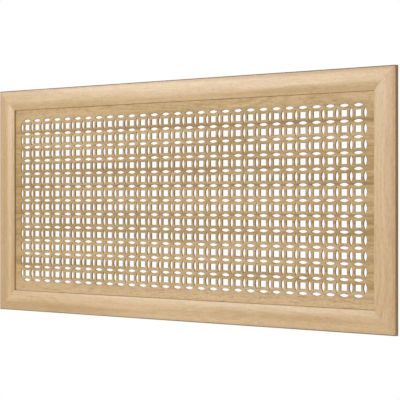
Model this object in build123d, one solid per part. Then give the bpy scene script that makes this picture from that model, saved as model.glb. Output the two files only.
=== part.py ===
from build123d import *
from math import floor, sqrt
import os

# Radiator screen: four mitred mouldings hold a thin perforated board in a groove.
# Millimetres. X is the width, Z is up and the front faces -Y. The origin is the middle of the
# bottom edge, half way through the thickness. Left and right are as seen from the front.

# Screen
screen_width = 1200.0
screen_height = 600.0

# Moulding, across its section: distances in from the outer edge, heights above the back
rail_width = 54.0
frame_thickness = 16.0
crest_start = 27.0  # the face is level from here
crest_end = 30.0  # to here
outer_drop = 2.5  # how far the face falls to the outer edge
inner_drop = 3.5  # and to the inner lip
edge_radius = 2.5
lip_radius = 0.8

# Board and the groove that holds it
board_thickness = 3.0
board_setback = 8.0  # from the crest to the front of the board
groove_depth = 10.0
groove_play = 0.2  # behind the board
board_edge_gap = 1.0  # between the board's edge and the bottom of the groove

# Pattern: a square hole in the middle of each circle, a lens where two circles overlap
pitch = 36.0
circle_radius = 21.8
square_side = 15.0
least_border = 20.0  # solid board left between the sight edge and the outermost circles' overlap

# Dowels across each mitre
dowel_diameter = 6.0
dowel_length = 30.0
dowel_places = (18.0, 30.0)  # in from both outer edges
dowel_height = 7.5  # above the back
dowel_end_gap = 1.0
fit_clearance = 0.05  # round every shank and dowel

# Flat corner plates and their countersunk screws
plate_leg = 80.0
plate_width = 15.0
plate_thickness = 1.5
plate_inset = 14.5  # from the frame's outer edges to the plate's
plate_corner_radius = 3.0
plate_hole_places = (40.0, 68.0)  # along each leg, from the plate's outer corner
plate_screw_shank = 3.0
plate_screw_head = 6.0
plate_screw_length = 12.0

# Hanging hooks: bent strip, slotted so that the height can be set
hook_inset = 200.0  # from the screen's side to the middle of the hook
hook_width = 36.0
hook_thickness = 2.0
hook_gap = 60.0  # between strap and lip, over the radiator
hook_lip = 25.0
hook_bend_radius = 4.0  # inside
hook_corner_radius = 5.0
hook_top_drop = 15.0  # from the screen's top edge to the top of the hook
hook_travel = 15.0
hook_strap_end = 6.0  # steel left below the slots
slot_spacing = 20.0
slot_side_play = 0.3
slot_end_play = 0.5

# Screws and washers of the hooks
hook_screw_drop = 28.0  # from the screen's top edge
hook_screw_shank = 4.0
hook_screw_head = 8.0
hook_screw_head_height = 2.6
head_rounding_share = 0.6  # of the head's height
hook_screw_length = 12.0
washer_diameter = 10.0
washer_thickness = 1.0
washer_play = 0.2

# Cross recess and point, on every screw
recess_share = 0.6  # of the head's diameter
recess_slot = 0.8
recess_depth = 1.2
point_share = 0.8  # length of the point over the shank's diameter
tip_share = 0.25  # diameter of the point's tip over the shank's
pilot_end_gap = 0.5

# Rubber bumpers on the back of the bottom rail
bumper_inset = 200.0  # from the screen's side
bumper_diameter = 12.0
bumper_height = 4.0
bumper_rounding = 2.0

back_y = frame_thickness / 2
board_front_y = back_y - frame_thickness + board_setback
board_back_y = board_front_y + board_thickness
sight_width = screen_width - 2 * rail_width
sight_height = screen_height - 2 * rail_width
hook_screw_z = screen_height - hook_screw_drop
hook_place = screen_width / 2 - hook_inset
bumper_place = screen_width / 2 - bumper_inset

# Corner: its place and the turn about Y that takes the bottom left corner to it
corners = {
    "bottom_left": (-screen_width / 2, 0, 0),
    "bottom_right": (screen_width / 2, 0, -90),
    "top_right": (screen_width / 2, screen_height, 180),
    "top_left": (-screen_width / 2, screen_height, 90),
}
sides = {"left": -1, "right": 1}


def vertex_at(face, x, y):
    """The face's vertex nearest to a point of its own plane."""
    return face.vertices().sort_by_distance(Vector(x, y))[0]


def moulding_section():
    """Section of a rail: x in from the outer edge, y up from the back."""
    groove_front = frame_thickness - board_setback
    groove_back = groove_front - board_thickness - groove_play
    groove_bottom = rail_width - groove_depth
    outer_height = frame_thickness - outer_drop
    lip_height = frame_thickness - inner_drop
    outline = [
        Line((0, 0), (0, outer_height)),
        TangentArc((crest_start, frame_thickness), (0, outer_height), tangent=(-1, 0)),
        Line((crest_start, frame_thickness), (crest_end, frame_thickness)),
        TangentArc((crest_end, frame_thickness), (rail_width, lip_height), tangent=(1, 0)),
        Polyline(
            (rail_width, lip_height),
            (rail_width, groove_front),
            (groove_bottom, groove_front),
            (groove_bottom, groove_back),
            (rail_width, groove_back),
            (rail_width, 0),
            (0, 0),
        ),
    ]
    face = make_face(outline).face()
    face = fillet(vertex_at(face, 0, outer_height), edge_radius).face()
    return fillet(vertex_at(face, rail_width, lip_height), lip_radius).face()


def plain_rail(length):
    """Mitred rail lying along X, with its outer edge on z = 0 and its middle on x = 0."""
    start = Plane(origin=(-length / 2, back_y, 0), x_dir=(0, 0, 1), z_dir=(1, 0, 0))
    rail = extrude(start * moulding_section(), length)
    for end in sides.values():
        mitre = Plane(origin=(end * length / 2, 0, 0), z_dir=(-end, 0, -1))
        rail = split(rail, bisect_by=mitre, keep=Keep.TOP)
    return rail


def facing_back(x, y, z):
    """Place on the back of the screen, where a piece's own +Z points backwards."""
    return Location((x, y, z), (-90, 0, 0))


def at_corner(name):
    x, z, turn = corners[name]
    return Location((x, 0, z), (0, turn, 0))


def dowels(clearance=0.0, end_gap=0.0):
    """Dowels of the bottom left corner, square to its mitre."""
    rod = Cylinder(dowel_diameter / 2 + clearance, dowel_length + 2 * end_gap)
    return [Location((place, back_y - dowel_height, place), (0, 135, 0)) * rod for place in dowel_places]


def plate_screw_spots():
    """Spots of the bottom left corner's plate screws, on the outside of the plate."""
    across = plate_inset + plate_width / 2
    level = back_y + plate_thickness
    along = [plate_inset + place for place in plate_hole_places]
    return [facing_back(a, level, across) for a in along] + [facing_back(across, level, a) for a in along]


def hook_screw_spots(side):
    """Spots under the heads of one hook's screws."""
    level = back_y + hook_thickness + washer_thickness
    middle = side * hook_place
    return [facing_back(middle + end * slot_spacing / 2, level, hook_screw_z) for end in sides.values()]


def shank(diameter, top, bottom, clearance=0.0):
    """Shank with a point, between two levels of a screw's own axis."""
    radius = diameter / 2 + clearance
    point = point_share * diameter
    straight = top - bottom - point
    body = Pos(0, 0, top - straight / 2) * Cylinder(radius, straight)
    return body + Pos(0, 0, bottom + point / 2) * Cone(radius * tip_share, radius, point)


def recess(head_diameter, top):
    slot = Box(recess_share * head_diameter, recess_slot, 2 * recess_depth)
    return Pos(0, 0, top) * (slot + Rot(0, 0, 90) * slot)


def countersunk_screw(clearance=0.0):
    """Screw whose head is level with z = 0, or with a clearance the hole that takes it."""
    cone = (plate_screw_head - plate_screw_shank) / 2
    radii = plate_screw_shank / 2 + clearance, plate_screw_head / 2 + clearance
    head = Pos(0, 0, -cone / 2) * Cone(*radii, cone)
    tip = -plate_screw_length - (pilot_end_gap if clearance else 0)
    whole = head + shank(plate_screw_shank, -cone, tip, clearance)
    return whole if clearance else whole - recess(plate_screw_head, 0)


def pan_screw():
    """Screw whose head stands on z = 0."""
    head = Pos(0, 0, hook_screw_head_height / 2) * Cylinder(hook_screw_head / 2, hook_screw_head_height)
    rounding = hook_screw_head_height * head_rounding_share
    head = fillet(head.edges().filter_by(GeomType.CIRCLE).sort_by(Axis.Z)[-1], rounding)
    whole = head + shank(hook_screw_shank, 0, -hook_screw_length)
    return whole - recess(hook_screw_head, hook_screw_head_height)


def corner_plate():
    """Plate of the bottom left corner."""
    near, wide, far = plate_inset, plate_inset + plate_width, plate_inset + plate_leg
    corner_points = [(near, near), (far, near), (far, wide), (wide, wide), (wide, far), (near, far)]
    outline = make_face(Polyline(*corner_points, close=True)).face()
    tips = [vertex_at(outline, *corner_points[i]) for i in (0, 1, 2, 4, 5)]
    outline = fillet(tips, plate_corner_radius).face()
    back = Plane(origin=(0, back_y, 0), x_dir=(0, 0, 1), z_dir=(0, 1, 0))
    plate = extrude(back * outline, plate_thickness)
    return plate - [spot * countersunk_screw(fit_clearance) for spot in plate_screw_spots()]


def square_hole():
    half = square_side / 2
    return Wire(Polyline((-half, -half), (half, -half), (half, half), (-half, half), close=True).edges())


def lens_hole():
    """Overlap of two circles whose middles are a pitch apart, one above the other."""
    tip = sqrt(circle_radius**2 - (pitch / 2) ** 2)
    rise = circle_radius - pitch / 2
    upper = ThreePointArc((-tip, 0), (0, rise), (tip, 0))
    lower = ThreePointArc((tip, 0), (0, -rise), (-tip, 0))
    return Wire([upper.edge(), lower.edge()])


def pattern_holes():
    """Outlines of every hole, about the middle of the board."""
    columns = floor((sight_width - 2 * least_border) / pitch)
    rows = floor((sight_height - 2 * least_border) / pitch)
    middles_x = [(i - (columns - 1) / 2) * pitch for i in range(columns)]
    middles_z = [(i - (rows - 1) / 2) * pitch for i in range(rows)]
    between_x = [(i - columns / 2) * pitch for i in range(columns + 1)]
    between_z = [(i - rows / 2) * pitch for i in range(rows + 1)]
    square, lens = square_hole(), lens_hole()
    upright_lens = lens.moved(Rot(0, 0, 90))
    holes = [square.moved(Pos(x, z)) for x in middles_x for z in middles_z]
    holes += [lens.moved(Pos(x, z)) for x in middles_x for z in between_z]
    holes += [upright_lens.moved(Pos(x, z)) for x in between_x for z in middles_z]
    return holes


def perforated_panel():
    held = 2 * (groove_depth - board_edge_gap)
    edge = Wire.make_rect(sight_width + held, sight_height + held)
    face = Face(edge, pattern_holes())
    back = Plane(origin=(0, board_back_y, screen_height / 2), x_dir=(1, 0, 0), z_dir=(0, -1, 0))
    return Solid.extrude(back * face, Vector(0, -board_thickness, 0))


def hanging_hook(side):
    """Strap up the back of the top rail, leg over the radiator and lip down behind it."""
    top = screen_height - hook_top_drop
    slot_low = hook_screw_z - hook_travel - hook_screw_shank / 2 - slot_end_play
    near, far = back_y, back_y + hook_gap + 2 * hook_thickness
    outside = [(near, top), (far, top)]
    inside = [(far - hook_thickness, top - hook_thickness), (near + hook_thickness, top - hook_thickness)]
    strap_end, lip_end = slot_low - hook_strap_end, top - hook_lip
    lip_points = [(far, lip_end), (far - hook_thickness, lip_end)]
    strap_points = [(near + hook_thickness, strap_end), (near, strap_end)]
    outline = make_face(Polyline(*outside, *lip_points, *inside, *strap_points, close=True)).face()
    outline = fillet([vertex_at(outline, *p) for p in inside], hook_bend_radius).face()
    outline = fillet([vertex_at(outline, *p) for p in outside], hook_bend_radius + hook_thickness).face()
    start = Plane(origin=(-hook_width / 2, 0, 0), x_dir=(0, 1, 0), z_dir=(1, 0, 0))
    strip = extrude(start * outline, hook_width)
    for end in (strap_end, lip_end):
        ends = [e for e in strip.edges().filter_by(Axis.Y) if abs(e.center().Z - end) < fit_clearance]
        strip = fillet(ends, hook_corner_radius)
    slot_width = hook_screw_shank + 2 * slot_side_play
    slot_length = hook_travel + hook_screw_shank + 2 * slot_end_play
    slot = extrude(SlotOverall(slot_length, slot_width, rotation=90), hook_thickness, both=True)
    middle = hook_screw_z - hook_travel / 2
    places = [end * slot_spacing / 2 for end in sides.values()]
    strip = strip - [facing_back(x, back_y + hook_thickness / 2, middle) * slot for x in places]
    return Pos(side * hook_place, 0, 0) * strip


def washers(side):
    ring = Cylinder(washer_diameter / 2, washer_thickness)
    ring = ring - Cylinder(hook_screw_shank / 2 + washer_play, washer_thickness)
    return [spot * Pos(0, 0, -washer_thickness / 2) * ring for spot in hook_screw_spots(side)]


def bumper(side):
    disc = Pos(0, 0, bumper_height / 2) * Cylinder(bumper_diameter / 2, bumper_height)
    disc = fillet(disc.edges().filter_by(GeomType.CIRCLE).sort_by(Axis.Z)[-1], bumper_rounding)
    return facing_back(side * bumper_place, back_y, rail_width / 2) * disc


def corner_drillings(length):
    """What is drilled at both ends of a rail that lies along X."""
    near_end = dowels(fit_clearance, dowel_end_gap)
    near_end += [spot * countersunk_screw(fit_clearance) for spot in plate_screw_spots()]
    ends = [Location((-length / 2, 0, 0)), Location((length / 2, 0, 0), (0, -90, 0))]
    return [end * tool for end in ends for tool in near_end]


def rails():
    """The four mouldings, each drilled for what goes into it."""
    across = plain_rail(screen_width) - corner_drillings(screen_width)
    upright = plain_rail(screen_height) - corner_drillings(screen_height)
    pilot = shank(hook_screw_shank, 0, -hook_screw_length - pilot_end_gap, fit_clearance)
    pilots = [spot * pilot for side in sides.values() for spot in hook_screw_spots(side)]
    return {
        "bottom_rail": across,
        "top_rail": Location((0, 0, screen_height), (0, 180, 0)) * across - pilots,
        "left_stile": Location((-screen_width / 2, 0, screen_height / 2), (0, 90, 0)) * upright,
        "right_stile": Location((screen_width / 2, 0, screen_height / 2), (0, -90, 0)) * upright,
    }


def group(pieces):
    """One node of separate solids."""
    return Compound([solid for piece in pieces for solid in piece.solids()])


def all_nodes():
    nodes = rails()
    nodes["perforated_panel"] = perforated_panel()
    for corner in corners:
        place = at_corner(corner)
        plate_screws = [spot * countersunk_screw() for spot in plate_screw_spots()]
        nodes["mitre_dowels_" + corner] = group([place * dowel for dowel in dowels()])
        nodes["corner_plate_" + corner] = place * corner_plate()
        nodes["corner_plate_screws_" + corner] = group([place * screw for screw in plate_screws])
    for name, side in sides.items():
        nodes["hanging_hook_" + name] = hanging_hook(side)
        nodes["hook_washers_" + name] = group(washers(side))
        nodes["hook_screws_" + name] = group([spot * pan_screw() for spot in hook_screw_spots(side)])
        nodes["bumper_" + name] = bumper(side)
    return nodes


os.makedirs("parts", exist_ok=True)
for node_name, shape in all_nodes().items():
    export_step(shape, f"parts/{node_name}.step", write_pcurves=False)
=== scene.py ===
import math

import bmesh
import bpy
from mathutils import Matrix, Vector, geometry


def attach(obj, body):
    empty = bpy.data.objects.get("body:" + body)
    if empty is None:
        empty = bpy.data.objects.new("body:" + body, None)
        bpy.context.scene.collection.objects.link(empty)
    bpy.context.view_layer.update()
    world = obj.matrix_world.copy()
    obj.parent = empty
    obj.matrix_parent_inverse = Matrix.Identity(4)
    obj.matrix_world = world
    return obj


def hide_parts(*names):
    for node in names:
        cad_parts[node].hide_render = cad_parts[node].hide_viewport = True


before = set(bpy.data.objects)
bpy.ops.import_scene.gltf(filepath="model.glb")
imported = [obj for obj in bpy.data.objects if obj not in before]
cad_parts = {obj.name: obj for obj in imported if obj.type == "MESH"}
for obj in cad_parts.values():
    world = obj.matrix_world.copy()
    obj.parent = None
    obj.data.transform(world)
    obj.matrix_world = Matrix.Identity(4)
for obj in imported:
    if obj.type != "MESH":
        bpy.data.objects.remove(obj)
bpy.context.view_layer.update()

print("frame loaded:", len(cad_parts), "nodes")

mm = 0.001
screen = {
    "width": 1200 * mm, "height": 600 * mm,
    "backLevel": 8 * mm,  # where the backs of the mouldings lie
}
halfWidth, halfHeight, backLevel = screen["width"] / 2, screen["height"] / 2, screen["backLevel"]


class Wire:
    # one output of a material's nodes, used in sums as a number is
    def __init__(self, tree, socket=None):
        self.tree, self.socket = tree, socket

    def node(self, kind, settings=None, values=None, out=0):
        made = self.tree.nodes.new("ShaderNode" + kind)
        for name, setting in (settings or {}).items():
            setattr(made, name, setting)
        for name, value in (values or {}).items():
            if isinstance(value, Wire):
                self.tree.links.new(value.socket, made.inputs[name])
            else:
                made.inputs[name].default_value = value
        return Wire(self.tree, made.outputs[out] if len(made.outputs) else None)

    def output(self, name):
        # another output of the same node
        return Wire(self.tree, self.socket.node.outputs[name])

    def maths(self, operation, first, second=0.0, clamp=False):
        return self.node("Math", {"operation": operation, "use_clamp": clamp}, {0: first, 1: second})

    def __add__(self, other): return self.maths("ADD", self, other)
    def __radd__(self, other): return self.maths("ADD", other, self)
    def __sub__(self, other): return self.maths("SUBTRACT", self, other)
    def __rsub__(self, other): return self.maths("SUBTRACT", other, self)
    def __mul__(self, other): return self.maths("MULTIPLY", self, other)
    def __rmul__(self, other): return self.maths("MULTIPLY", other, self)
    def __pow__(self, other): return self.maths("POWER", self, other)
    def __rpow__(self, other): return self.maths("POWER", other, self)


def colour(red, green, blue):
    # from 0 to 255 a channel, as a screen shows it, to the linear values that a shader takes
    parts = [part / 255 for part in (red, green, blue)]
    return tuple(p / 12.92 if p <= 0.04045 else ((p + 0.055) / 1.055) ** 2.4 for p in parts) + (1.0,)


def newFinish(name):
    finish = bpy.data.materials.new(name)
    finish.use_nodes = True
    finish.node_tree.nodes.clear()
    return finish, Wire(finish.node_tree)


def surface(wire, values):
    shader = wire.node("BsdfPrincipled", {}, values)
    wire.node("OutputMaterial", {}, {"Surface": shader})


def objectPlace(wire):
    return wire.node("TexCoord", out="Object")


def mixed(wire, factor, first, second):
    # inputs 6 and 7 of a Mix node are its two colours, and output 2 is what they give
    settings = {"data_type": "RGBA", "blend_type": "MIX", "clamp_factor": True}
    return wire.node("Mix", settings, {0: factor, 6: first, 7: second}, out=2)


def noise(wire, place, scale, detail=2.0, rough=0.5, distortion=0.0):
    return wire.node("TexNoise", {"noise_dimensions": "3D"}, {
        "Vector": place, "Scale": scale, "Detail": detail, "Roughness": rough, "Distortion": distortion})


def eased(wire, value, none, full):
    # 0 at none and before it, 1 at full and past it; full may be the lower of the two,
    # and every Range in the settings is such a pair
    values = {"Value": value, "From Min": none, "From Max": full, "To Min": 0.0, "To Max": 1.0}
    return wire.node("MapRange", {"interpolation_type": "SMOOTHSTEP"}, values)


def raised(wire, height, depth):
    return wire.node("Bump", {}, {"Height": height, "Distance": depth, "Strength": 1.0})


# the oak foil; each moulding and the board has its own seed and changes some of it
oakFoil = {
    "pale": colour(209, 181, 141),
    "middle": colour(192, 162, 120),
    "deep": colour(170, 136, 90),
    "pore": colour(132, 100, 62),
    "rose": colour(206, 168, 134),
    "ochre": colour(190, 160, 108),
    # paler foil and painted highlight, for the pale zones
    "paleWoodAndHighlightColour": colour(212, 184, 146),
    # colour of the painted shade on the rounded edges and of the painted shadow on the board at the lips
    "shadeLineColour": colour(112, 86, 56),
    "roughness": 0.35,
    "sideRoughness": 0.35,  # added on the sides and on the back
    "fibreRoughness": 0.12,
    "gloss": 0.5,
    "relief": 0.00002,  # in metres
    "fibreRelief": 0.5,  # against 1 for the pores
    # how strong each part of the grain is
    "figure": 0.3,
    "bands": 0.75,
    "longStreaks": 0.25,
    "blush": 0.45,
    "clouds": 0.35,
    "strokes": 0.42,
    "flecks": 0.3,
    "darkFibres": 0.35,
    "paleFibres": 0.5,
    "pores": 0.55,
    # how strong the painted shade line is
    "shadeLineStrength": 0.55,
    # zones painted darker or paler: on the mouldings partly the foil's own tone and partly painted shade on
    # slopes turned from the lamps and painted highlight on those facing them; middle x and z, reach in x
    # and z, all in metres, and strength
    "darkWoodAndShade": [],  # darker: darker foil and painted shade
    "paleWoodAndHighlight": [],  # paler: paler foil and painted highlight
    "streaks": [],  # dark lines of full length: height in metres, strength
}
# each foil's zones: painted shade on slopes turned from the lamps, painted highlight on those facing them,
# and darker or paler foil
topFoil = dict(
    oakFoil, seed=3.7, shadeLineStrength=0.9,
    darkWoodAndShade=[(-0.57, 0.57, 0.12, 0.06, 0.3), (0.42, 0.556, 0.42, 0.014, 0.5),
               (-0.05, 0.570, 0.36, 0.008, 0.4), (0.25, 0.594, 0.35, 0.006, 0.4),
               (-0.42, 0.576, 0.2, 0.024, 0.18)],
    paleWoodAndHighlight=[(0.45, 0.580, 0.2, 0.008, 0.4), (0.52, 0.584, 0.14, 0.012, 0.35),
              (-0.22, 0.591, 0.25, 0.006, 0.35)])
bottomFoil = dict(
    oakFoil, seed=8.2, shadeLineStrength=0.85,
    darkWoodAndShade=[(-0.42, 0.014, 0.40, 0.017, 0.6), (0.0, 0.048, 0.8, 0.006, 0.3),
               (0.3, 0.026, 0.4, 0.007, 0.3)],
    paleWoodAndHighlight=[(0.12, 0.011, 0.45, 0.009, 0.4), (0.35, 0.013, 0.35, 0.008, 0.3)])
leftFoil = dict(
    oakFoil, seed=15.9,
    darkWoodAndShade=[(-0.585, 0.30, 0.026, 0.90, 0.6), (-0.551, 0.25, 0.006, 0.60, 0.6),
               (-0.576, 0.30, 0.007, 0.70, 0.3)],
    paleWoodAndHighlight=[(-0.586, 0.09, 0.010, 0.14, 0.15)])
rightFoil = dict(
    oakFoil, seed=21.4,
    darkWoodAndShade=[(0.599, 0.36, 0.010, 0.40, 0.35), (0.600, 0.30, 0.005, 0.90, 0.35)],
    paleWoodAndHighlight=[(0.582, 0.36, 0.012, 0.45, 0.35), (0.578, 0.53, 0.012, 0.12, 0.4),
              (0.560, 0.22, 0.008, 0.40, 0.35)])
boardFoil = dict(
    oakFoil, pale=colour(199, 173, 129), middle=colour(181, 151, 105), deep=colour(147, 116, 71),
    pore=colour(116, 88, 52), rose=colour(191, 151, 111), ochre=colour(174, 146, 94),
    roughness=0.55, sideRoughness=0.0, gloss=0.12, seed=11.3,
    bands=0.7, longStreaks=0.15, blush=0.7, clouds=0.7, strokes=0.6, flecks=0.45,
    darkWoodAndShade=[(-0.45, 0.545, 0.25, 0.03, 0.2), (-0.48, 0.30, 0.16, 0.17, 0.26),
               (-0.15, 0.373, 0.75, 0.035, 0.22), (-0.08, 0.230, 0.45, 0.044, 0.33)],
    paleWoodAndHighlight=[(0.0, 0.055, 3.0, 0.045, 0.9), (0.0, 0.545, 3.0, 0.035, 0.4), (0.48, 0.545, 0.2, 0.03, 0.35),
              (0.40, 0.462, 0.32, 0.024, 0.35), (0.0, 0.465, 0.2, 0.022, 0.3),
              (0.33, 0.320, 0.40, 0.024, 0.3), (0.30, 0.174, 0.42, 0.024, 0.35)],
    streaks=[(0.498, 0.35), (0.483, 0.7), (0.425, 0.35), (0.412, 0.3), (0.398, 0.5), (0.376, 0.25),
             (0.351, 0.45), (0.338, 0.8), (0.318, 0.35), (0.265, 0.65), (0.249, 0.5), (0.222, 0.3),
             (0.210, 0.55), (0.138, 0.5)])

# noise of each layer: waves in a metre along and across the grain, detail, roughness, step of the seed
grainLayers = {
    "drift": (1.3, 11, 2.0, 0.5, 0),  # moves the others sideways, so that no line is quite straight
    "bands": (0.8, 95, 3.0, 0.6, 1),  # the growth rings
    "field": (1.7, 9, 1.0, 0.5, 2),  # its contours are the flame figure
    "fibres": (16, 1500, 3.0, 0.65, 3),
    "strokes": (34, 330, 2.0, 0.6, 4),
    "pores": (90, 2600, 1.0, 0.5, 5),
    "blush": (7, 62, 2.0, 0.5, 6),
    "clouds": (2.6, 30, 2.0, 0.5, 7),
    "longStreaks": (0.35, 48, 1.5, 0.5, 8),
    "flecks": (130, 290, 1.0, 0.5, 9),
}
straightLayers = ("clouds", "longStreaks")  # the drift doesn't move these
# coats of colour in their order: layer, its value where the coat begins and is full, strength, colour
groundCoats = [
    ("bands", 0.25, 0.75, "bands", "middle"),
    ("blush", 0.5, 0.72, "blush", "rose"),
    ("blush", 0.48, 0.3, "blush", "ochre"),
    ("clouds", 0.48, 0.75, "clouds", "deep"),
]
grainCoats = [
    ("strokes", 0.52, 0.75, "strokes", "deep"),
    ("strokes", 0.46, 0.25, "strokes", "pale"),
    ("flecks", 0.52, 0.75, "flecks", "deep"),
    ("flecks", 0.48, 0.25, "flecks", "pale"),
    ("fibres", 0.5, 0.75, "darkFibres", "deep"),
    ("fibres", 0.45, 0.25, "paleFibres", "pale"),
    ("longStreaks", 0.56, 0.72, "longStreaks", "deep"),
]
oakGrain = {
    "driftReach": 0.012,  # in metres
    "contours": 150, "sharpness": 2.2, "flameRange": (0.42, 0.6),
    "poreRange": (0.62, 0.72),
    "zoneRange": (1.1, 0.4), "zoneWobble": 0.9,  # in parts of a zone's reach
    "streakRange": (0.005, 0.001), "streakDrift": 0.006,  # in metres
}


def zoneMask(wire, x, z, zone, wobble):
    middleX, middleZ, reachX, reachZ, strength = zone
    sideways, upwards = (x - middleX) * (1 / reachX), (z - middleZ) * (1 / reachZ)
    reach = wire.maths("SQRT", sideways * sideways + upwards * upwards)
    return eased(wire, reach + wobble, *oakGrain["zoneRange"]) * strength


shadeLineAndSidePlaces = {
    "edgeRange": (3.6 * mm, 1.4 * mm),  # in from the top edge and from the bottom edge
    "frontRange": (-2.5 * mm, -3.5 * mm),  # depths of the mouldings' front, where the painted edge shade is
    "lip": 54.0 * mm, "creviceRange": (1.4 * mm, 0.5 * mm),  # where the mouldings end, and away from there
    "boardRange": (-1.2 * mm, -0.4 * mm),  # depths of the board, where the painted shadow line at the lip is
    "sideRange": (-5 * mm, -2 * mm),  # depths of the mouldings' sides and back, where the foil is duller
}


def paintedShadeLine(wire, x, y, z):
    # painted shade: 1 along the rounded top and bottom edges of the face, standing in for the shade on the
    # roundings, and on the board close to the mouldings, standing in for the lips' contact shadow
    outX = halfWidth - wire.maths("ABSOLUTE", x)
    outZ = halfHeight - wire.maths("ABSOLUTE", z - halfHeight)
    edge = eased(wire, outZ, *shadeLineAndSidePlaces["edgeRange"]) * eased(wire, y, *shadeLineAndSidePlaces["frontRange"])
    fromLip = wire.maths("ABSOLUTE", wire.maths("MINIMUM", outX, outZ) - shadeLineAndSidePlaces["lip"])
    creviceShadow = eased(wire, fromLip, *shadeLineAndSidePlaces["creviceRange"]) * eased(wire, y, *shadeLineAndSidePlaces["boardRange"])
    return wire.maths("MAXIMUM", edge, creviceShadow)


def oakFinish(name, grain, look):
    finish, wire = newFinish(name)
    split = wire.node("SeparateXYZ", {}, {0: objectPlace(wire)})
    x, y, z = (split.output(axis) for axis in "XYZ")
    along, across = (x, z) if grain == "x" else (z, x)
    across = across + y  # the foil runs on down the sides of the moulding

    def layer(kind, sideways):
        waves, ribs, detail, rough, extra = grainLayers[kind]
        place = wire.node("CombineXYZ", {}, {0: along * waves, 1: sideways * ribs, 2: look["seed"] + extra})
        return noise(wire, place, 1.0, detail, rough)

    def coated(base, coats):
        for kind, begin, full, strength, shade in coats:
            base = mixed(wire, eased(wire, layers[kind], begin, full) * look[strength], base, look[shade])
        return base

    drift = layer("drift", across) - 0.5
    wandering = across + drift * oakGrain["driftReach"]
    layers = {kind: layer(kind, across if kind in straightLayers else wandering)
              for kind in grainLayers if kind != "drift"}
    contour = wire.maths("SINE", layers["field"] * oakGrain["contours"]) * 0.5 + 0.5
    flames = contour ** oakGrain["sharpness"] * eased(wire, layers["field"], *oakGrain["flameRange"])
    pores = eased(wire, layers["pores"], *oakGrain["poreRange"])
    wobble = (layers["blush"] - 0.5) * oakGrain["zoneWobble"]

    base = coated(look["pale"], groundCoats)
    # painted shade and painted highlight by zones, together with the foil's own darker and paler tone
    for zones, shade in (("darkWoodAndShade", "deep"), ("paleWoodAndHighlight", "paleWoodAndHighlightColour")):
        for zone in look[zones]:
            base = mixed(wire, zoneMask(wire, x, z, zone, wobble), base, look[shade])
    base = mixed(wire, flames * look["figure"], base, look["deep"])
    base = coated(base, grainCoats)
    for height, strength in look["streaks"]:
        away = wire.maths("ABSOLUTE", z + drift * oakGrain["streakDrift"] - height)
        base = mixed(wire, eased(wire, away, *oakGrain["streakRange"]) * strength, base, look["deep"])
    base = mixed(wire, pores * look["pores"], base, look["pore"])
    # painted shade along the rounded edges and painted contact shadow on the board by the lips
    base = mixed(wire, paintedShadeLine(wire, x, y, z) * look["shadeLineStrength"], base, look["shadeLineColour"])

    outerSide = eased(wire, y, *shadeLineAndSidePlaces["sideRange"])
    roughness = ((layers["fibres"] - 0.5) * look["fibreRoughness"]
                 + outerSide * look["sideRoughness"] + look["roughness"])
    normal = raised(wire, layers["fibres"] * look["fibreRelief"] - pores, look["relief"])
    surface(wire, {"Base Color": base, "Roughness": roughness, "Specular IOR Level": look["gloss"],
                   "Normal": normal})
    return finish


rawBoard = {
    "pale": colour(154, 126, 94),
    "dark": colour(134, 108, 79),
    "fleck": colour(104, 80, 55),
    "roughness": 0.85,
    "relief": 0.00006,
    "fluffScale": 1500.0, "fluffRange": (0.35, 0.65),
    "cloudScale": 28.0, "cloudRange": (0.4, 0.75), "clouds": 0.4,
    "speckScale": 2600.0, "speckRange": (0.62, 0.72), "specks": 0.5,
}
rawMoulding = dict(rawBoard, pale=colour(196, 170, 136), dark=colour(180, 153, 119),
                   fleck=colour(150, 121, 88))
sawnEdge = dict(rawBoard, pale=colour(138, 108, 56), dark=colour(113, 86, 38), fleck=colour(84, 63, 26))


def fibreFinish(name, look):
    finish, wire = newFinish(name)
    place = objectPlace(wire)
    fluff = noise(wire, place, look["fluffScale"], detail=3.0, rough=0.7)
    cloud = noise(wire, place, look["cloudScale"], detail=3.0)
    specks = noise(wire, place, look["speckScale"], detail=1.0)
    base = mixed(wire, eased(wire, fluff, *look["fluffRange"]), look["pale"], look["dark"])
    base = mixed(wire, eased(wire, cloud, *look["cloudRange"]) * look["clouds"], base, look["dark"])
    base = mixed(wire, eased(wire, specks, *look["speckRange"]) * look["specks"], base, look["fleck"])
    surface(wire, {"Base Color": base, "Roughness": look["roughness"],
                   "Normal": raised(wire, fluff, look["relief"])})
    return finish


zincPlate = {
    "bright": colour(180, 183, 188),
    "dull": colour(146, 151, 158),
    "tint": colour(176, 174, 158),
    "roughness": 0.4,  # at the least
    "relief": 0.00001,
    "cloudScale": 70.0, "cloudRange": (0.35, 0.7), "cloudRoughness": 0.16,
    "stainScale": 24.0, "stainRange": (0.5, 0.8), "stains": 0.6,
    "gritScale": 1800.0, "gritRoughness": 0.08,
}
screwPlate = dict(zincPlate, bright=colour(172, 172, 170), dull=colour(138, 140, 142), roughness=0.24)


def zincFinish(name, look):
    finish, wire = newFinish(name)
    place = objectPlace(wire)
    cloud = noise(wire, place, look["cloudScale"], detail=4.0, rough=0.6)
    stain = noise(wire, place, look["stainScale"], distortion=0.8)
    grit = noise(wire, place, look["gritScale"])
    base = mixed(wire, eased(wire, cloud, *look["cloudRange"]), look["bright"], look["dull"])
    base = mixed(wire, eased(wire, stain, *look["stainRange"]) * look["stains"], base, look["tint"])
    roughness = cloud * look["cloudRoughness"] + grit * look["gritRoughness"] + look["roughness"]
    surface(wire, {"Base Color": base, "Metallic": 1.0, "Roughness": roughness,
                   "Normal": raised(wire, grit, look["relief"])})
    return finish


beechWood = {
    "pale": colour(214, 182, 146),
    "dark": colour(186, 148, 110),
    "roughness": 0.6,
    "relief": 0.00004,
    "fleckScale": 700.0, "fleckRange": (0.4, 0.7),
}


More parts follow.
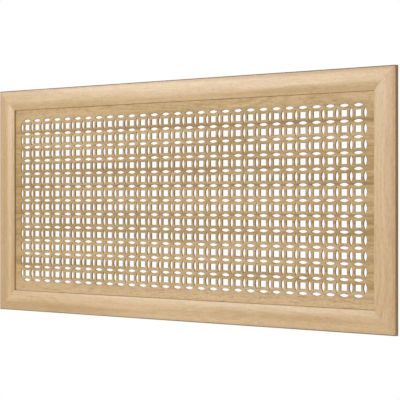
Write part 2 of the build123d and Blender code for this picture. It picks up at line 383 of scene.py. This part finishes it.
def beechFinish(name, look):
    finish, wire = newFinish(name)
    flecks = noise(wire, objectPlace(wire), look["fleckScale"], distortion=0.6)
    base = mixed(wire, eased(wire, flecks, *look["fleckRange"]), look["pale"], look["dark"])
    surface(wire, {"Base Color": base, "Roughness": look["roughness"],
                   "Normal": raised(wire, flecks, look["relief"])})
    return finish


softRubber = {
    "clear": colour(214, 214, 208),
    "cloudy": colour(190, 190, 182),
    "roughness": 0.38,  # at the least
    "relief": 0.00003,
    "hazeScale": 260.0, "hazeRange": (0.35, 0.7), "hazeRoughness": 0.1,
    "transmission": 0.45,
    "refraction": 1.43,
}


def rubberFinish(name, look):
    finish, wire = newFinish(name)
    haze = noise(wire, objectPlace(wire), look["hazeScale"], detail=3.0)
    base = mixed(wire, eased(wire, haze, *look["hazeRange"]), look["clear"], look["cloudy"])
    surface(wire, {"Base Color": base, "Roughness": haze * look["hazeRoughness"] + look["roughness"],
                   "Transmission Weight": look["transmission"], "IOR": look["refraction"],
                   "Normal": raised(wire, haze, look["relief"])})
    return finish


topOak = oakFinish("oakFoilTop", "x", topFoil)
bottomOak = oakFinish("oakFoilBottom", "x", bottomFoil)
leftOak = oakFinish("oakFoilLeft", "z", leftFoil)
rightOak = oakFinish("oakFoilRight", "z", rightFoil)
oakBoard = oakFinish("oakFoilBoard", "x", boardFoil)
brownBoard = fibreFinish("rawBrownBoard", rawBoard)
cutEdge = fibreFinish("brownCutEdge", sawnEdge)
paleBoard = fibreFinish("rawPaleBoard", rawMoulding)
zinc = zincFinish("zincPlate", zincPlate)
screwZinc = zincFinish("screwZinc", screwPlate)
beech = beechFinish("beech", beechWood)
rubber = rubberFinish("milkyRubber", softRubber)
print("materials made:", len(bpy.data.materials))


foil, raw, cut = range(3)  # a face's finish, as its number in the list of a moulding or of the board


def newPiece(name, points, faces, finishes, slots, sharp=28):
    # slots holds the number of each face's finish; edges that turn by more than sharp degrees stay sharp
    mesh = bpy.data.meshes.new(name)
    mesh.from_pydata(points, [], faces)
    for finish in finishes:
        mesh.materials.append(finish)
    mesh.polygons.foreach_set("material_index", slots)
    work = bmesh.new()
    work.from_mesh(mesh)
    bmesh.ops.recalc_face_normals(work, faces=work.faces)
    work.to_mesh(mesh)
    work.free()
    mesh.polygons.foreach_set("use_smooth", [True] * len(mesh.polygons))
    mesh.set_sharp_from_angle(angle=math.radians(sharp))
    piece = bpy.data.objects.new(name, mesh)
    bpy.context.scene.collection.objects.link(piece)
    return piece


def arc(centre, radius, start, end, steps):
    # points of an arc in a section, angles in degrees, both ends included
    turns = [math.radians(start + (end - start) * i / steps) for i in range(steps + 1)]
    return [(centre[0] + radius * math.cos(t), centre[1] + radius * math.sin(t)) for t in turns]


moulding = {  # in mm
    "width": 54.0, "thickness": 16.0,
    "crestStart": 27.0, "crestEnd": 30.0,  # the level part of the face
    "outerDrop": 2.5, "innerDrop": 3.5,
    "edgeRadius": 2.5, "lipRadius": 0.8,
    "setback": 8.0, "grooveWidth": 3.2, "grooveDepth": 10.0,
    "foilWrap": 9.0,  # how far the foil laps onto the back
    "easing": 0.4,  # small chamfer at the back corners
    "mitreGap": 0.03, "mitreEase": 0.15,
    "arcSteps": 18, "roundSteps": 8,
}


def mouldingSection(m):
    # points round the section as (in from the outer edge, above the back), and the finish of the side
    # from each point to the next
    outerRadius = (m["crestStart"] ** 2 + m["outerDrop"] ** 2) / (2 * m["outerDrop"])
    run = m["width"] - m["crestEnd"]
    innerRadius = (run ** 2 + m["innerDrop"] ** 2) / (2 * m["innerDrop"])
    outerCentre = (m["crestStart"], m["thickness"] - outerRadius)
    innerCentre = (m["crestEnd"], m["thickness"] - innerRadius)

    def rounding(side, radius, centre, arcRadius):
        # centre of the rounding between an upright side and an arc of the face, and the angle where it ends
        x = side + (radius if side < centre[0] else -radius)
        y = centre[1] + math.sqrt((arcRadius - radius) ** 2 - (x - centre[0]) ** 2)
        return (x, y), math.degrees(math.atan2(y - centre[1], x - centre[0]))

    edge, edgeTurn = rounding(0.0, m["edgeRadius"], outerCentre, outerRadius)
    lip, lipTurn = rounding(m["width"], m["lipRadius"], innerCentre, innerRadius)
    face = arc(edge, m["edgeRadius"], 180, edgeTurn, m["roundSteps"])
    face += arc(outerCentre, outerRadius, edgeTurn, 90, m["arcSteps"])[1:]
    face += arc(innerCentre, innerRadius, 90, lipTurn, m["arcSteps"])
    face += arc(lip, m["lipRadius"], lipTurn, 0, m["roundSteps"])[1:]
    grooveFront = m["thickness"] - m["setback"]
    grooveBottom, grooveBack = m["width"] - m["grooveDepth"], grooveFront - m["grooveWidth"]
    inner = [(m["width"], grooveFront), (grooveBottom, grooveFront), (grooveBottom, grooveBack),
             (m["width"], grooveBack), (m["width"], m["easing"]), (m["width"] - m["easing"], 0.0)]
    back = [(m["foilWrap"], 0.0), (m["easing"], 0.0), (0.0, m["easing"])]
    return face + inner + back, [foil] * len(face) + [raw] * len(inner) + [foil] * len(back)


def shrunk(points, by):
    # the section drawn in by a little, for the eased edge at a mitre
    result = []
    for i, (x, y) in enumerate(points):
        before, after = points[i - 1], points[(i + 1) % len(points)]
        dx, dy = after[0] - before[0], after[1] - before[1]
        length = math.hypot(dx, dy) or 1.0
        result.append((x + dy / length * by, y - dx / length * by))
    return result


def rail(name, node, finish, length, place):
    # place turns (along, in from the outer edge, above the back) into a point of the screen
    points, sides = mouldingSection(moulding)
    drawnIn = shrunk(points, moulding["mitreEase"])
    gap, half, count = moulding["mitreGap"], length / 2 / mm, len(points)
    full = gap + moulding["mitreEase"]
    cuts = [(-1, gap, drawnIn), (-1, full, points), (1, full, points), (1, gap, drawnIn)]
    vertices = [place(end * (half - u - inset) * mm, u * mm, h * mm)
                for end, inset, section in cuts for u, h in section]
    faces, slots = [], []
    for a in range(0, (len(cuts) - 1) * count, count):
        for i in range(count):
            j = (i + 1) % count
            faces.append((a + i, a + j, a + count + j, a + count + i))
            slots.append(sides[i])
    faces += [tuple(range(count)), tuple(range((len(cuts) - 1) * count, len(cuts) * count))]
    slots += [raw, raw]
    piece = newPiece(name, vertices, faces, [finish, paleBoard], slots)
    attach(piece, "screen")
    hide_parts(node)


rail("bottomRail", "bottom_rail", bottomOak, screen["width"],
     lambda s, u, h: (s, backLevel - h, u))
rail("topRail", "top_rail", topOak, screen["width"],
     lambda s, u, h: (s, backLevel - h, screen["height"] - u))
rail("leftStile", "left_stile", leftOak, screen["height"],
     lambda s, u, h: (u - halfWidth, backLevel - h, halfHeight + s))
rail("rightStile", "right_stile", rightOak, screen["height"],
     lambda s, u, h: (halfWidth - u, backLevel - h, halfHeight + s))
print("four mouldings made")


board = {  # in mm
    "width": 1110.0, "height": 510.0, "thickness": 3.0,
    "columns": 29, "rows": 12, "pitch": 36.0,
    "circleRadius": 21.8, "squareSide": 15.0, "squareRounding": 0.4,
    "lensSteps": 10, "cornerSteps": 2,
    "frontEasing": 0.5, "backEasing": 0.12,
}


def squareLoop(grown):
    half, radius = board["squareSide"] / 2 - board["squareRounding"], board["squareRounding"] + grown
    loop = []
    for turn, sx, sz in ((0, 1, 1), (90, -1, 1), (180, -1, -1), (270, 1, -1)):
        loop += arc((sx * half, sz * half), radius, turn, turn + 90, board["cornerSteps"])
    return loop


def lensLoop(grown, upright):
    # where two circles overlap; both grow alike, so the tips stay on the line between them
    radius, offset = board["circleRadius"] + grown, board["pitch"] / 2
    spread = math.degrees(math.acos(offset / radius))
    top = arc((0, -offset), radius, 90 - spread, 90 + spread, board["lensSteps"])
    bottom = [(-x, -z) for x, z in top]
    loop = top[:-1] + bottom[:-1]
    return [(-z, x) for x, z in loop] if upright else loop


def middles(count):
    return [(i - (count - 1) / 2) * board["pitch"] for i in range(count)]


def perforatedBoard():
    columns, rows = middles(board["columns"]), middles(board["rows"])
    betweenColumns, betweenRows = middles(board["columns"] + 1), middles(board["rows"] + 1)
    holes = [("square", x, z) for x in columns for z in rows]
    holes += [("lyingLens", x, z) for x in columns for z in betweenRows]
    holes += [("uprightLens", x, z) for x in betweenColumns for z in rows]
    w, h = board["width"] / 2, board["height"] / 2
    # how much wider the holes are at each depth, front to back
    levels = [(board["frontEasing"], 0.0), (0.0, board["frontEasing"]),
              (0.0, board["thickness"] - board["backEasing"]), (board["backEasing"], board["thickness"])]
    rings = []  # the points of each level, in the same order
    for grown, _ in levels:
        outlines = {"square": squareLoop(grown), "lyingLens": lensLoop(grown, False),
                    "uprightLens": lensLoop(grown, True)}
        ring = [(-w, -h), (w, -h), (w, h), (-w, h)]
        loops = [(0, len(ring))]  # first point of each loop, and the first past it
        for shape, x, z in holes:
            outline = outlines[shape]
            loops.append((len(ring), len(ring) + len(outline)))
            ring += [(x + px, z + pz) for px, pz in outline]
        rings.append(ring)
    owner = [k for k, (first, last) in enumerate(loops) for _ in range(first, last)]
    edges = [(i, i + 1 if i + 1 < last else first) for first, last in loops for i in range(first, last)]
    flat = [Vector(point) for point in rings[0]]
    everywhere, tiny = 0, 1e-5  # triangles also in the holes; points nearer than this many mm are one
    _, _, triangles, origins, _, _ = geometry.delaunay_2d_cdt(flat, edges, [], everywhere, tiny)
    count, steps = len(flat), len(levels) - 1
    faces, slots = [], []
    for triangle in triangles:
        corners = [origins[i][0] for i in triangle]
        owners = {owner[i] for i in corners}
        if len(owners) == 1 and owners != {0}:
            continue  # all three corners are on one hole, so it fills the hole
        faces += [tuple(corners), tuple(steps * count + i for i in reversed(corners))]
        slots += [foil, raw]
    for level in range(0, steps * count, count):
        for a, b in edges:
            faces.append((level + a, level + b, level + count + b, level + count + a))
            slots.append(cut if owner[a] else raw)
    points = [(x * mm, y * mm, z * mm + halfHeight) for ring, (_, y) in zip(rings, levels) for x, z in ring]
    piece = newPiece("perforatedBoard", points, faces, [oakBoard, brownBoard, cutEdge], slots)
    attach(piece, "screen")
    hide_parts("perforated_panel")


perforatedBoard()
print("perforated board made")


finishOf = {  # by the start of a node's name; a longer start follows a shorter one
    "mitre_dowels": beech, "corner_plate": zinc, "corner_plate_screws": screwZinc,
    "hanging_hook": zinc, "hook_washers": zinc, "hook_screws": screwZinc, "bumper": rubber,
}
for nodeName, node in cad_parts.items():
    for start, finish in finishOf.items():
        if nodeName.startswith(start):
            for slot in node.material_slots:
                slot.material = finish
print("fittings dressed")


stage = {
    "floorLevel": -0.70, "floorSize": 60.0,
    "floorWhite": colour(240, 240, 238),
    "fadeFrom": 2.2, "fadeTo": 3.4,  # the floor turns plain white between these distances
    "floorGlow": 0.5,  # before it does
    "ambient": 0.15,
}
lamps = {  # angles in degrees, 0 in front of the screen and 90 to its right; metres and watts
    "keyLamp": {"azimuth": -40.0, "elevation": 20.0, "distance": 4.0, "size": 1.6, "power": 44.0},
    "nearLamp": {"azimuth": -28.0, "elevation": 12.0, "distance": 4.0, "size": 1.6, "power": 39.0},
    "fillLamp": {"azimuth": 23.0, "elevation": 8.0, "distance": 4.0, "size": 1.6, "power": 62.0},
    "backLamp": {"azimuth": -155.0, "elevation": 14.0, "distance": 4.0, "size": 3.8, "power": 118.0},
}
camera = {
    "place": (1.8095, -2.4973, 0.3009),
    "looks": (-0.5716, 0.8205, 0.0),  # a direction
    "lens": 111.56, "sensor": 36.0, "farthest": 100.0,
}
plainWhite = (1, 1, 1, 1)


def pictureRays(wire):
    # 1 for rays of the picture itself, of mirrors and of glass
    path = wire.node("LightPath")
    direct, mirrored, through = (path.output(f"Is {kind} Ray")
                                 for kind in ("Camera", "Glossy", "Transmission"))
    return wire.maths("ADD", direct + mirrored, through, clamp=True)


def paleFloor():
    half = stage["floorSize"] / 2
    corners = [(-half, -half, 0.0), (half, -half, 0.0), (half, half, 0.0), (-half, half, 0.0)]
    finish, wire = newFinish("paleFloor")
    reach = wire.node("VectorMath", {"operation": "LENGTH"}, {0: objectPlace(wire)}, out="Value")
    far = eased(wire, reach, stage["fadeFrom"], stage["fadeTo"])
    plain = wire.node("BsdfDiffuse", {}, {"Color": stage["floorWhite"]})
    white = wire.node("Emission", {}, {"Color": plainWhite, "Strength": 1.0})
    glow = far * (1 - stage["floorGlow"]) + stage["floorGlow"]
    both = wire.node("MixShader", {}, {0: glow * pictureRays(wire), 1: plain, 2: white})
    wire.node("OutputMaterial", {}, {"Surface": both})
    floor = newPiece("paleFloor", corners, [(0, 1, 2, 3)], [finish], [0])
    floor.location.z = stage["floorLevel"]


def skyLight():
    world = bpy.data.worlds.new("softSky")
    bpy.context.scene.world = world
    world.use_nodes = True
    world.node_tree.nodes.clear()
    wire = Wire(world.node_tree)
    strength = pictureRays(wire) * (1 - stage["ambient"]) + stage["ambient"]
    light = wire.node("Background", {}, {"Color": plainWhite, "Strength": strength})
    wire.node("OutputWorld", {}, {"Surface": light})


def softLamp(name, settings):
    turn, lift = math.radians(settings["azimuth"]), math.radians(settings["elevation"])
    towards = Vector((math.sin(turn) * math.cos(lift), -math.cos(turn) * math.cos(lift), math.sin(lift)))
    light = bpy.data.lights.new(name, "AREA")
    light.shape, light.size, light.energy = "DISK", settings["size"], settings["power"]
    holder = bpy.data.objects.new(name, light)
    holder.location = Vector((0, 0, halfHeight)) + towards * settings["distance"]
    holder.rotation_euler = towards.to_track_quat("Z", "Y").to_euler()
    bpy.context.scene.collection.objects.link(holder)


def addCamera():
    view = bpy.data.cameras.new("camera")
    view.lens, view.sensor_width, view.clip_end = camera["lens"], camera["sensor"], camera["farthest"]
    holder = bpy.data.objects.new("camera", view)
    holder.location = camera["place"]
    holder.rotation_euler = Vector(camera["looks"]).to_track_quat("-Z", "Y").to_euler()
    bpy.context.scene.collection.objects.link(holder)
    bpy.context.scene.camera = holder


paleFloor()
skyLight()
for name, settings in lamps.items():
    softLamp(name, settings)
addCamera()
bpy.context.scene.view_settings.view_transform = "Standard"
print("stage, light and camera set")
